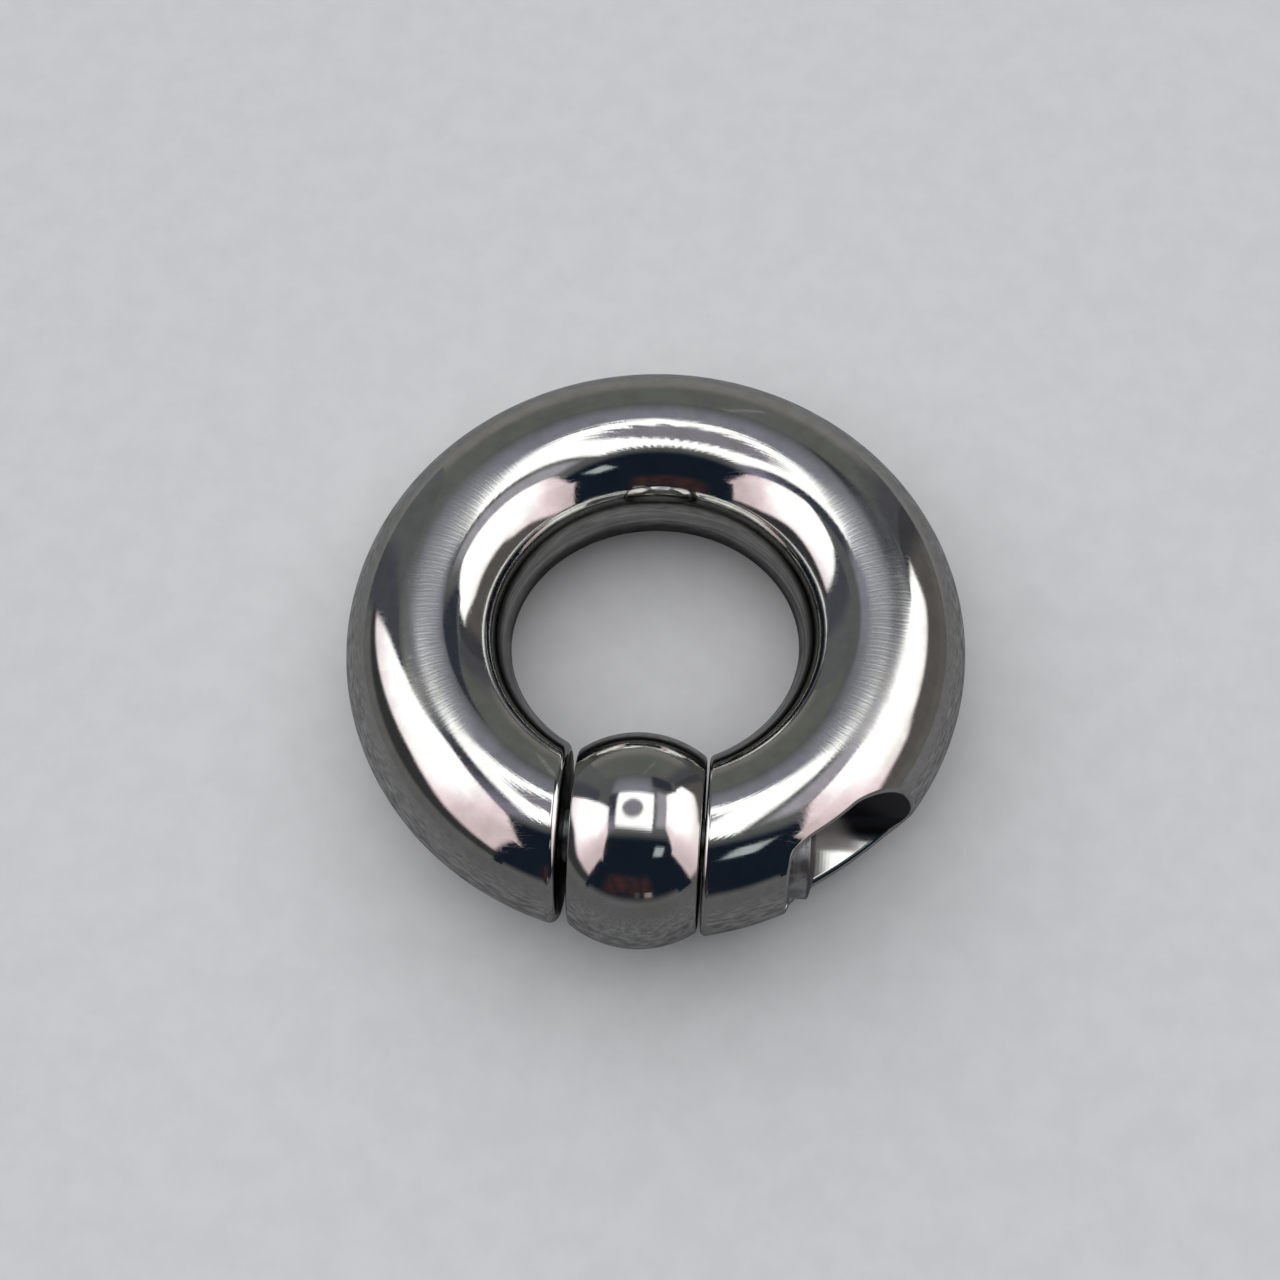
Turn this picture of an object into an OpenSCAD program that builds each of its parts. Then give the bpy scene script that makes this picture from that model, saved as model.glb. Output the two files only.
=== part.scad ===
// A captive bead ring of heavy round wire. It lies on its side: the far side of
// the wire and the thicker bead touch the surface, so the ring leans a little.

/* [Ring] */
// Diameter of the round wire
wire_d = 10; // [9:0.5:11]
// Diameter of the worn hollow, between the inner sides of the wire
inner_d = 17.5; // [16:0.5:25]
// How far the edge of the left cut end is bevelled
ease_left = 0.4; // [0.1:0.05:0.5]
// How far the edge of the right cut end is bevelled
ease_right = 0.25; // [0.1:0.05:0.5]

/* [Bead] */
// Diameter of the ball that the bead is turned from
bead_d = 12.5; // [12:0.1:14]
// Width of the bead between its two flats
bead_w = 7.4; // [6.5:0.1:8]
// How far the bead's rims are bevelled
bead_rim = 0.25; // [0.1:0.05:0.5]
// Gap between the bead and the left cut end
gap_left = 0.55; // [0.2:0.05:0.8]
// Gap between the bead and the right cut end
gap_right = 0.2; // [0.15:0.05:0.8]

/* [Screw] */
// Diameter of the screw's shank
shank_d = 3; // [2.5:0.1:3.5]
// Length of the shank under the head
shank_len = 16; // [14:0.5:17]
// Diameter of the screw's head
head_d = 5.5; // [5:0.1:5.8]
// Height of the head's round side
head_h = 3; // [2.8:0.1:3.2]
// How far the middle of the head's outer end bulges past its side
head_dome = 0.45; // [0.2:0.05:0.6]
// Width across the flats of the key socket
key_w = 2.5; // [2:0.1:3]
// Depth of the key socket
key_deep = 1.3; // [0.8:0.1:1.8]

/* [Passage] */
// Distance from the bead's middle to the underside of the screw's head
head_x = 6.9; // [6.6:0.1:7.2]
// Distance from the bead's middle to where the passage opens wide
mouth_x = 9; // [8.5:0.1:9.3]
// Width of the passage's mouth, across the ring's thickness
mouth_w = 7.7; // [7:0.1:8]
// Distance from the screw's middle to the mouth's inner side
mouth_side = 3; // [2.95:0.05:3.2]
// Radius of the rounding along the two inner edges of the mouth
mouth_round = 1.9; // [1:0.1:2.5]
// Clearance round the screw in its bores
clear = 0.15; // [0.1:0.01:0.18]
// Clearance under the head and past the tip of the shank
end_clear = 0.1; // [0.05:0.05:0.3]

/* [Hidden] */
$fn = 96;

wire_r = wire_d / 2;
bead_r = bead_d / 2;
// Radius of the circle that the wire's middle follows
mid_r = inner_d / 2 + wire_r;
// Where the cut ends stand, to either side of the bead's middle
left_x = -(bead_w / 2 + gap_left);
right_x = bead_w / 2 + gap_right;
// The screw runs through the middle of the cut ends
cut_x = (right_x - left_x) / 2;
outer_reach = sqrt(pow(mid_r + wire_r, 2) - pow(cut_x, 2));
inner_reach = sqrt(pow(mid_r - wire_r, 2) - pow(cut_x, 2));
axis_r = (outer_reach + inner_reach) / 2;

// The bead is thicker than the wire, so the ring lies with its front lifted
lean_sin = (bead_r - wire_r) / (mid_r + axis_r);
lean = asin(lean_sin);
lift = wire_r + mid_r * lean_sin;
// The origin is under the middle of the ring's footprint, on the surface
front = axis_r * cos(lean) + bead_r;
back = mid_r * cos(lean) + wire_r;
shift_y = (front - back) / 2;

tip_x = head_x - shank_len;
seat_x = tip_x - end_clear;
floor_x = head_x - end_clear;
shank_bore_d = shank_d + 2 * clear;
head_bore_d = head_d + 2 * clear;
head_end_x = head_x + head_h + head_dome;
// Enough to cut right through the ring
over = mid_r + 2 * wire_r;
// How far the tool that bevels an edge reaches past it
bevel_reach = 2;

// Lays a shape that is drawn flat about the ring's centre down as it rests
module laid() {
    translate([0, shift_y, lift]) rotate([-lean, 0, 0]) children();
}

// Turns a shape that is drawn upright to run along the screw, starting at x
module along_screw(x) {
    translate([x, -axis_r, 0]) rotate([0, 90, 0]) children();
}

// The band that bevels the edge of a cut end, drawn with the wire above it
module end_bevel(ease) {
    face_r = wire_r - ease;
    rotate_extrude() polygon([
        [face_r, 0],
        [face_r + bevel_reach, bevel_reach],
        [face_r + bevel_reach, -bevel_reach],
        [face_r, -bevel_reach]
    ]);
}

// Section of the mouth: rounded along its inner edges, open to the outer side
module mouth_section() {
    round_x = mouth_w / 2 - mouth_round;
    inner_y = mouth_side - mouth_round;
    for (side = [-1, 1]) translate([side * round_x, inner_y]) circle(r = mouth_round);
    translate([-round_x, 0]) square([2 * round_x, mouth_side]);
    translate([-mouth_w / 2, -over]) square([mouth_w, over + inner_y]);
}

module ring() {
    color([0.72, 0.72, 0.71])
    laid() difference() {
        rotate_extrude() translate([mid_r, 0]) circle(r = wire_r);
        // The gap for the bead
        translate([left_x, -over, -over]) cube([right_x - left_x, over, 2 * over]);
        along_screw(right_x) end_bevel(ease_right);
        along_screw(left_x) mirror([0, 0, 1]) end_bevel(ease_left);
        // The shank's bore, which ends blind in the left end
        along_screw(seat_x) cylinder(h = head_x - seat_x, d = shank_bore_d);
        // The head's bore and the wide mouth in the right end
        along_screw(floor_x) cylinder(h = mouth_x + 1 - floor_x, d = head_bore_d);
        along_screw(mouth_x) linear_extrude(height = over) mouth_section();
    }
}

// Half of the bead's outline: radius along X, and the screw's direction along Y
module bead_outline() {
    flat_r = sqrt(pow(bead_r, 2) - pow(bead_w / 2, 2)) - bead_rim;
    // The bevel faces halfway between the flat and the ball
    drop = bevel_reach * tan(acos(bead_w / bead_d) / 2);
    intersection() {
        circle(r = bead_r);
        polygon([
            [0, -bead_w / 2],
            [flat_r, -bead_w / 2],
            [flat_r + bevel_reach, drop - bead_w / 2],
            [flat_r + bevel_reach, bead_w / 2 - drop],
            [flat_r, bead_w / 2],
            [0, bead_w / 2]
        ]);
    }
}

module bead() {
    color([0.76, 0.76, 0.75])
    laid() along_screw(0) difference() {
        rotate_extrude() bead_outline();
        translate([0, 0, -bead_w]) cylinder(h = 2 * bead_w, d = shank_bore_d);
    }
}

// Half of the head's outline: radius along X, height along Y
module head_outline() {
    head_r = head_d / 2;
    dome_r = (pow(head_r, 2) + pow(head_dome, 2)) / (2 * head_dome);
    intersection() {
        square([head_r, head_h + head_dome]);
        translate([0, head_h + head_dome - dome_r]) circle(r = dome_r);
    }
}

module screw() {
    color([0.6, 0.6, 0.59])
    laid() difference() {
        union() {
            along_screw(tip_x) cylinder(h = shank_len + head_h / 2, d = shank_d);
            along_screw(head_x) rotate_extrude() head_outline();
        }
        // The six-sided key socket
        along_screw(head_end_x - key_deep)
            cylinder(h = 2 * key_deep, d = key_w / cos(30), $fn = 6);
    }
}

ring();
bead();
screw();
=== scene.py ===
import math
import bpy
import numpy as np
from mathutils import Matrix
from mathutils.geometry import delaunay_2d_cdt


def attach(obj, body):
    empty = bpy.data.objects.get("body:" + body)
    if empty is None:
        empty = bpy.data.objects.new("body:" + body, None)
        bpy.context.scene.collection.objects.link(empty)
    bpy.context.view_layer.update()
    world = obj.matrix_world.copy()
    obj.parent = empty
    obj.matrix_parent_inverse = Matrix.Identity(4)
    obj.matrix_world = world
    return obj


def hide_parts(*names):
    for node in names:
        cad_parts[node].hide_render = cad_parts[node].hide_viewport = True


# A captive bead ring of mirror-polished steel, lying on its side on a pale floor.
# Shapes are worked out in the ring's own frame, in millimetres: the ring is flat about its
# middle, the bead lies along -Y and the screw runs along +X. laid() puts them down as they rest.

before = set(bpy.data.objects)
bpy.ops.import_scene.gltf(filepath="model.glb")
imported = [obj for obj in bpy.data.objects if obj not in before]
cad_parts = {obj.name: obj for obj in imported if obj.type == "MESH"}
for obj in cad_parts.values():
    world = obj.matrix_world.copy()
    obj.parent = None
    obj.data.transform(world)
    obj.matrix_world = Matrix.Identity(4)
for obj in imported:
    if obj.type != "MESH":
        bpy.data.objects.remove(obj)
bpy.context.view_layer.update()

# Sizes, in millimetres
# The wire's own radius and that of its middle line, the bead, and the two cut ends beside it
WIRE_R = 5.0
MID_R = 13.75
BEAD_R = 6.25
BEAD_HALF = 3.7
BEAD_RIM = 0.25
CUT_LEFT = 4.25
CUT_RIGHT = 3.9
EASE_LEFT = 0.55
EASE_RIGHT = 0.3
# The screw and its bores, with places along its axis
SHANK_R = 1.5
SHANK_BORE_R = 1.65
SHANK_TIP_X = -9.1
TIP_BEVEL = 0.3
SEAT_X = -9.2
HEAD_R = 2.75
HEAD_BORE_R = 2.9
HEAD_X = 6.9
HEAD_FLOOR_X = 6.8
HEAD_H = 3.0
HEAD_DOME = 0.45
HEAD_RIM = 0.2
KEY_HALF = 1.25
KEY_DEEP = 1.3
KEY_LEAD = 0.12
KEY_LEAD_SLOPE = 0.6
DRILL_POINT = 0.35
# The passage that opens in the mouth: its end face, its radius above and below the axis, its
# inner side and the corner over that, and its rolled rim
MOUTH_X = 8.75
MOUTH_R = 3.42
MOUTH_LOW_R = 3.2
MOUTH_SIDE = 3.0
MOUTH_ROUND = 1.35
MOUTH_RIM = 0.35
# Its floor starts that far outward from straight down, as arcs with a radius and the turn each
# one ends at. The last one's radius is what still fits.
FLOOR_START = math.radians(15)
FLOOR_ARCS = ((0.8, math.radians(6)), (12.0, math.radians(18)), (None, math.pi / 2))

# The screw's axis runs at this distance from the ring's middle. The bead is fatter than the wire,
# so the ring leans by LEAN, is lifted by LIFT and is shifted back by SHIFT_Y.
cut_mean = (CUT_LEFT + CUT_RIGHT) / 2
AXIS_R = (math.sqrt((MID_R + WIRE_R) ** 2 - cut_mean ** 2)
          + math.sqrt((MID_R - WIRE_R) ** 2 - cut_mean ** 2)) / 2
lean_sin = (BEAD_R - WIRE_R) / (MID_R + AXIS_R)
LEAN = math.asin(lean_sin)
LIFT = WIRE_R + MID_R * lean_sin
SHIFT_Y = ((AXIS_R - MID_R) * math.cos(LEAN) + BEAD_R - WIRE_R) / 2
MM = 0.001
# Points in one cell of this size are one point. The offset keeps round numbers off cell borders.
WELD = 0.0005
WELD_OFFSET = 0.3719

# How finely the surfaces are cut up: round and along the wire, round the bead and the screw, and
# over a rolled edge
ROUND = 144
ALONG = 400
BEAD_STEPS = 256
SCREW_STEPS = 192
FILLET = 6
# How often the search for the mouth's corners halves its range
HALVINGS = 50
# How many of the wire's cells the patch round the mouth reaches past it, how wide and high it
# takes a cell to be, and how near to the rim its inner points may lie
PATCH_EDGE = 3
PATCH_CELL = (1.0, 0.75)
PATCH_NEAREST = 0.45
# Material slots: the polished skin, the faced ends in the bead's gaps, and the passage
POLISHED, GAP_FINISH, PASSAGE_FINISH = 0, 1, 2
# Ways a turned surface faces, along the screw's axis and away from it
LEFTWARD, RIGHTWARD, INWARD, OUTWARD = (-1, 0), (1, 0), (0, -1), (0, 1)


# Mesh tools
def turned(vectors):
    """Turns directions from the ring's own frame to the row frame"""
    x, y, z = np.moveaxis(np.asarray(vectors, float), -1, 0)
    c, s = math.cos(LEAN), math.sin(LEAN)
    return np.stack([x, y * c + z * s, z * c - y * s], -1)


def laid(points):
    """Moves points from the ring's own frame to the row frame, in metres"""
    return (turned(points) + np.array([0.0, SHIFT_Y, LIFT])) * MM


def unit(vectors):
    vectors = np.asarray(vectors, float)
    return vectors / np.linalg.norm(vectors, axis=-1, keepdims=True)


def arc(first, last, steps):
    """Directions from first to last by equal turns, one row for each step"""
    first, last = np.broadcast_arrays(unit(first), unit(last))
    angle = np.arccos(np.clip((first * last).sum(-1, keepdims=True), -1, 1))
    t = np.linspace(0, 1, steps + 1).reshape((-1,) + (1,) * first.ndim)
    return (np.sin((1 - t) * angle) * first + np.sin(t * angle) * last) / np.sin(angle)


class Skin:
    """Patches of surface that carry their own exact normals, joined into one closed mesh"""

    def __init__(self):
        self.points, self.normals, self.count = [], [], 0
        self.faces = {3: [np.zeros((0, 3), int)], 4: [np.zeros((0, 4), int)]}
        self.finishes = {3: [], 4: []}
        self.finish = POLISHED

    def add(self, points, normals, faces):
        """Faces is an array of triangles or quads that index the patch's own points"""
        points = np.asarray(points, float).reshape(-1, 3)
        self.points.append(points)
        self.normals.append(np.broadcast_to(np.asarray(normals, float), points.shape))
        self.faces[faces.shape[1]].append(faces + self.count)
        self.finishes[faces.shape[1]] += [self.finish] * len(faces)
        self.count += len(points)

    def grid(self, points, normals, closed=False, skip=None):
        """A patch of rows and columns; closed joins the last column to the first"""
        points = np.asarray(points, float)
        normals = np.broadcast_to(np.asarray(normals, float), points.shape)
        rows, cols = points.shape[:2]
        spans = cols if closed else cols - 1
        i, j = np.meshgrid(np.arange(rows - 1), np.arange(spans), indexing="ij")
        if skip is not None:
            i, j = i[~skip], j[~skip]
        i, j = i.ravel(), j.ravel()
        k = (j + 1) % cols
        quads = np.stack([i * cols + j, i * cols + k, (i + 1) * cols + k, (i + 1) * cols + j], 1)
        self.add(points, normals.reshape(-1, 3), quads)

    def build(self, name):
        """Welds the patches, drops faces with no area and makes the object"""
        points = np.concatenate(self.points)
        normals = unit(np.concatenate(self.normals))
        keys = np.floor(points / WELD + WELD_OFFSET).astype(np.int64)
        _, first, weld = np.unique(keys, axis=0, return_index=True, return_inverse=True)
        weld = weld.ravel()
        joined = points[first]
        triangles, quads = np.concatenate(self.faces[3]), np.concatenate(self.faces[4])
        finish3, finish4 = np.array(self.finishes[3], int), np.array(self.finishes[4], int)
        # A quad with two welded corners is a triangle, and a face with fewer than three is nothing
        double = weld[quads] == np.roll(weld[quads], 1, axis=1)
        pinched, whole = double.sum(1) == 1, double.sum(1) == 0
        triangles = np.concatenate([triangles, quads[pinched][~double[pinched]].reshape(-1, 3)])
        finish3 = np.concatenate([finish3, finish4[pinched]])
        quads, finish4 = quads[whole], finish4[whole]
        double = weld[triangles] == np.roll(weld[triangles], 1, axis=1)
        whole = double.sum(1) == 0
        triangles, finish3 = triangles[whole], finish3[whole]
        # Each face winds so that it faces the way its normals do
        for faces in (triangles, quads):
            p = joined[weld[faces]]
            facing = np.cross(p[:, 2] - p[:, 0], p[:, -1] - p[:, 1])
            wrong = (facing * normals[faces].sum(1)).sum(1) < 0
            faces[wrong] = faces[wrong][:, ::-1]
        mesh = bpy.data.meshes.new(name)
        mesh.from_pydata(laid(joined).tolist(), [], weld[quads].tolist() + weld[triangles].tolist())
        corners = np.concatenate([quads.ravel(), triangles.ravel()])
        mesh.polygons.foreach_set("use_smooth", np.ones(len(mesh.polygons), bool))
        mesh.polygons.foreach_set("material_index", np.concatenate([finish4, finish3]))
        mesh.normals_split_custom_set(turned(normals[corners]).tolist())
        mesh.update()
        piece = bpy.data.objects.new(name, mesh)
        bpy.context.scene.collection.objects.link(piece)
        return piece


def revolved(skin, profile, normals, steps=ROUND):
    """Turns a profile of (x, radius) rows about the screw's axis"""
    profile, normals = np.asarray(profile, float), np.asarray(normals, float)
    t = np.arange(steps) * 2 * math.pi / steps
    x, radius = profile[:, :1], profile[:, 1:]
    nx, nr = normals[:, :1], normals[:, 1:]
    one = np.ones_like(t)
    points = np.stack([x * one, -AXIS_R - radius * np.cos(t), radius * np.sin(t)], -1)
    skin.grid(points, np.stack([nx * one, -nr * np.cos(t), nr * np.sin(t)], -1), closed=True)


def inside(loop, points):
    """Which of the flat points lie inside the closed loop"""
    loop, points = np.asarray(loop), np.asarray(points)
    a, b = loop, np.roll(loop, -1, axis=0)
    x, y = points[:, :1], points[:, 1:]
    crosses = (a[:, 1] > y) != (b[:, 1] > y)
    rise = np.where(b[:, 1] == a[:, 1], 1.0, b[:, 1] - a[:, 1])
    at = a[:, 0] + (y - a[:, 1]) * (b[:, 0] - a[:, 0]) / rise
    return (crosses & (x < at)).sum(1) % 2 == 1


def filled(loops, extra=()):
    """Triangles between flat closed loops, through the extra points, as indices into them all"""
    flat = [tuple(p) for loop in loops for p in loop] + [tuple(p) for p in extra]
    edges, start = [], 0
    for loop in loops:
        n = len(loop)
        edges += [(start + i, start + (i + 1) % n) for i in range(n)]
        start += n
    _, _, triangles, origin, _, _ = delaunay_2d_cdt(flat, edges, [], 0, 1e-7)
    source = [o[0] for o in origin]
    flat = np.asarray(flat)
    triangles = np.array([[source[i] for i in t] for t in triangles])
    middle = flat[triangles].mean(1)
    keep = inside(loops[0], middle)
    for loop in loops[1:]:
        keep &= ~inside(loop, middle)
    return triangles[keep]


# The ring
def wire_normal(azimuth, angle):
    """Which way the wire's skin faces, azimuth from the bead and angle from its outer side"""
    return np.stack([np.cos(angle) * np.sin(azimuth), -np.cos(angle) * np.cos(azimuth),
                     np.sin(angle) + 0 * azimuth], -1)


def wire_point(azimuth, angle, radius=WIRE_R):
    middle = np.stack([np.sin(azimuth), -np.cos(azimuth), 0 * azimuth], -1) * MID_R
    return middle + radius * wire_normal(azimuth, angle)


def cut_azimuth(angle, cut, ease):
    """Where the wire's skin stops and the rolled edge of a cut end starts"""
    return np.arcsin((cut + ease) / (MID_R + (WIRE_R - ease) * np.cos(angle)))


def between(first, last, steps):
    """Rows of points that lead from the first row to the last in equal steps"""
    t = np.linspace(0, 1, steps + 1)[:, None, None]
    return first * (1 - t) + last * t


def add_cut_end(skin, angles, side, cut, ease):
    """The rolled edge of a cut end and its flat, in to the shank's bore"""
    start = cut_azimuth(angles, cut, ease)
    middle = wire_point(start, angles, WIRE_R - ease)
    facing = arc(wire_normal(start, angles), (-1, 0, 0), FILLET)
    mirror = np.array([side, 1, 1])
    skin.grid((middle + ease * facing) * mirror, facing * mirror, closed=True)
    outer = (middle + ease * np.array([-1, 0, 0])) * mirror
    hole = np.stack([np.full(ROUND, side * cut), -AXIS_R - SHANK_BORE_R * np.cos(angles),
                     SHANK_BORE_R * np.sin(angles)], -1)
    skin.finish = GAP_FINISH
    skin.grid(between(outer, hole, 5), (-side, 0, 0), closed=True)
    skin.finish = POLISHED
    return start


# The mouth's rim is rolled as by a ball of radius MOUTH_RIM that touches the wire's skin from
# inside and the passage's wall. Points of the passage's section are (in, up): towards the ring's
# middle, and upwards. It is round on its outer side, flat above with one tighter corner on the
# inner side, and has a shallow tilted floor below.
def rim_reach(z):
    """How far from the ring's middle the ball lies at height z"""
    return MID_R + np.sqrt((WIRE_R - MOUTH_RIM) ** 2 - z ** 2)


def along_wall(points, outward):
    """The ball's middles and facings as it rolls along the passage's wall"""
    at = points + MOUTH_RIM * outward
    y = AXIS_R - at[:, 0]
    x = np.sqrt(rim_reach(at[:, 1]) ** 2 - y ** 2)
    facing = np.column_stack([np.zeros(len(at)), -outward])
    return np.column_stack([x, -y, at[:, 1]]), facing


def round_corner(radius):
    """The ball's way round the corner from the end face's edge to a round wall above it"""
    t = np.linspace(0, math.pi / 2, 9)
    x = MOUTH_X - MOUTH_RIM * np.cos(t)
    far = radius + MOUTH_RIM * np.sin(t)
    low, high = np.zeros_like(t), np.full_like(t, math.pi / 2)
    for _ in range(HALVINGS):
        turn = (low + high) / 2
        outside = np.hypot(x, AXIS_R + far * np.cos(turn)) > rim_reach(far * np.sin(turn))
        low, high = np.where(outside, turn, low), np.where(outside, high, turn)
    middles = np.column_stack([x, -AXIS_R - far * np.cos(turn), far * np.sin(turn)])
    facings = np.column_stack([np.cos(t), np.cos(turn) * np.sin(t), -np.sin(turn) * np.sin(t)])
    return middles, facings, turn[-1]


def walls_above(first_turn):
    """The section's outer side above the axis, its top and its tighter corner"""
    turns = np.linspace(first_turn, math.pi / 2, 30)
    outer = np.column_stack([-np.cos(turns), np.sin(turns)])
    inward = np.linspace(0, MOUTH_SIDE - MOUTH_ROUND, 10)
    top = np.column_stack([inward, np.full_like(inward, MOUTH_R)])
    turns = np.linspace(0, math.pi / 2, 25)
    bend = np.column_stack([np.sin(turns), np.cos(turns)])
    bend_middle = np.array([MOUTH_SIDE - MOUTH_ROUND, MOUTH_R - MOUTH_ROUND])
    return [(MOUTH_R * outer, outer), (top, np.broadcast_to((0.0, 1.0), top.shape)),
            (bend_middle + MOUTH_ROUND * bend, bend)]


def walls_below(last_turn):
    """The section's inner side, its floor and its outer side below the axis"""
    tilt = -FLOOR_START
    outward = [np.array([[math.sin(tilt), -math.cos(tilt)]])]
    floor = [MOUTH_LOW_R * outward[0]]
    for radius, end in FLOOR_ARCS:
        if radius is None:
            radius = (MOUTH_SIDE - floor[-1][-1, 0]) / (1 - math.sin(tilt))
        turns = np.linspace(tilt, end, 15)[1:]
        facing = np.column_stack([np.sin(turns), -np.cos(turns)])
        floor.append(floor[-1][-1] + radius * (facing - outward[-1][-1]))
        outward.append(facing)
        tilt = end
    floor, outward = np.concatenate(floor)[::-1], np.concatenate(outward)[::-1]
    down = np.linspace(MOUTH_R - MOUTH_ROUND, floor[0, 1], 12)
    side = np.column_stack([np.full_like(down, MOUTH_SIDE), down])
    turns = np.linspace(math.pi / 2 - FLOOR_START, last_turn, 24)
    low = np.column_stack([-np.cos(turns), -np.sin(turns)])
    return [(side, np.broadcast_to((1.0, 0.0), side.shape)), (floor, outward),
            (MOUTH_LOW_R * low, low)]


def mouth_path():
    """The ball's middles all round the mouth, and which way it touches the passage at each"""
    above, above_facing, above_turn = round_corner(MOUTH_R)
    under, under_facing, under_turn = round_corner(MOUTH_LOW_R)
    # Along the end face's edge, between those corners
    z = np.linspace(-under[0, 2], above[0, 2], 61)
    edge_x = np.full_like(z, MOUTH_X - MOUTH_RIM)
    edge = np.column_stack([edge_x, -np.sqrt(rim_reach(z) ** 2 - edge_x ** 2), z])
    parts = [(edge, np.broadcast_to((1.0, 0.0, 0.0), edge.shape)), (above, above_facing)]
    parts += [along_wall(*wall) for wall in walls_above(above_turn) + walls_below(under_turn)]
    flip = (1, 1, -1)
    parts.append((under[::-1] * flip, under_facing[::-1] * flip))
    middle = np.concatenate([part[0][1:] for part in parts])
    facing = np.concatenate([part[1][1:] for part in parts])
    return middle, facing


def add_wire(skin, angles, starts, middle, facing):
    """The mouth's rolled rim, and the round wire with a patch of skin fitted to that rim"""
    share = np.linspace(0, 1, ALONG + 1)[:, None]
    span = 2 * math.pi - starts[0] - starts[1]
    azimuth = starts[0] + span * share
    angle = np.broadcast_to(angles, azimuth.shape)
    points, normals = wire_point(azimuth, angle), wire_normal(azimuth, angle)
    # The rolled rim
    reach = np.hypot(middle[:, 0], middle[:, 1])
    rim_azimuth = np.arctan2(middle[:, 0], -middle[:, 1])
    rim_angle = np.arctan2(middle[:, 2], reach - MID_R)
    rim_normal = wire_normal(rim_azimuth, rim_angle)
    rim_arc = arc(rim_normal, facing, FILLET + 2)
    skin.grid(middle + MOUTH_RIM * rim_arc, rim_arc, closed=True)
    # Where the rim's points lie on the wire's even grid, in columns and rows
    rim_start = cut_azimuth(rim_angle, CUT_RIGHT, EASE_RIGHT)
    rim_end = cut_azimuth(rim_angle, CUT_LEFT, EASE_LEFT)
    rim_share = (rim_azimuth - rim_start) / (2 * math.pi - rim_start - rim_end)
    col = rim_share * ALONG
    row = (rim_angle + math.pi) * ROUND / (2 * math.pi)
    # The even grid, left open round the mouth
    i0, i1 = int(col.min()) - PATCH_EDGE, int(col.max()) + PATCH_EDGE + 1
    j0, j1 = int(row.min()) - PATCH_EDGE, int(row.max()) + PATCH_EDGE + 1
    skip = np.zeros((ALONG, ROUND), bool)
    skip[i0:i1, j0:j1] = True
    skin.grid(points, normals, closed=True, skip=skip)
    # The patch, from the grid's open border to the rim
    cell = np.array(PATCH_CELL)
    loop = np.stack([col, row], 1) * cell
    border = ([(i, j0) for i in range(i0, i1)] + [(i1, j) for j in range(j0, j1)]
              + [(i, j1) for i in range(i1, i0, -1)] + [(i0, j) for j in range(j1, j0, -1)])
    inner = np.array([(i, j) for i in range(i0 + 1, i1) for j in range(j0 + 1, j1)])
    near = np.sqrt((((inner * cell)[:, None] - loop[None]) ** 2).sum(-1)).min(1)
    inner = inner[~inside(loop, inner * cell) & (near > PATCH_NEAREST)]
    ij = np.concatenate([np.array(border), inner])
    triangles = filled([np.array(border) * cell, loop], inner * cell)
    outside, within = tuple(ij[:len(border)].T), tuple(ij[len(border):].T)
    patch = np.concatenate([points[outside], middle + MOUTH_RIM * rim_normal, points[within]])
    skin.add(patch, np.concatenate([normals[outside], rim_normal, normals[within]]), triangles)


def add_passage(skin, middle, facing):
    """The passage's walls, the end face round the head's bore, that bore and the shank's bores"""
    touch = middle + MOUTH_RIM * facing
    wall = touch[:, 0] > MOUTH_X + WELD
    base = touch.copy()
    base[:, 0] = MOUTH_X
    rows = np.flatnonzero(wall)
    rows = np.arange(rows[0] - 1, rows[-1] + 2)
    skin.grid(between(base[rows], touch[rows], 16), facing[rows])
    turn = np.arange(ROUND) * 2 * math.pi / ROUND
    rim = np.stack([np.full(ROUND, MOUTH_X), -AXIS_R - HEAD_BORE_R * np.cos(turn),
                    HEAD_BORE_R * np.sin(turn)], -1)
    triangles = filled([base[:, 1:], rim[:, 1:]])
    skin.add(np.concatenate([base, rim]), (1, 0, 0), triangles)
    into_head = [(MOUTH_X, HEAD_BORE_R), (HEAD_FLOOR_X, HEAD_BORE_R)]
    head_floor = [(HEAD_FLOOR_X, HEAD_BORE_R), (HEAD_FLOOR_X, SHANK_BORE_R)]
    through = [(HEAD_FLOOR_X, SHANK_BORE_R), (CUT_RIGHT, SHANK_BORE_R)]
    seat = [(-CUT_LEFT, SHANK_BORE_R), (SEAT_X, SHANK_BORE_R)]
    seat_floor = [(SEAT_X, SHANK_BORE_R), (SEAT_X, 0)]
    for profile, normal in ((into_head, INWARD), (head_floor, RIGHTWARD), (through, INWARD),
                            (seat, INWARD), (seat_floor, RIGHTWARD)):
        revolved(skin, profile, [normal, normal])


def make_ring():
    skin = Skin()
    angles = np.arange(ROUND) * 2 * math.pi / ROUND - math.pi
    starts = [add_cut_end(skin, angles, *end)
              for end in ((1, CUT_RIGHT, EASE_RIGHT), (-1, CUT_LEFT, EASE_LEFT))]
    middle, facing = mouth_path()
    add_wire(skin, angles, starts, middle, facing)
    skin.finish = PASSAGE_FINISH
    add_passage(skin, middle, facing)
    return skin.build("ring_skin")


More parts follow.
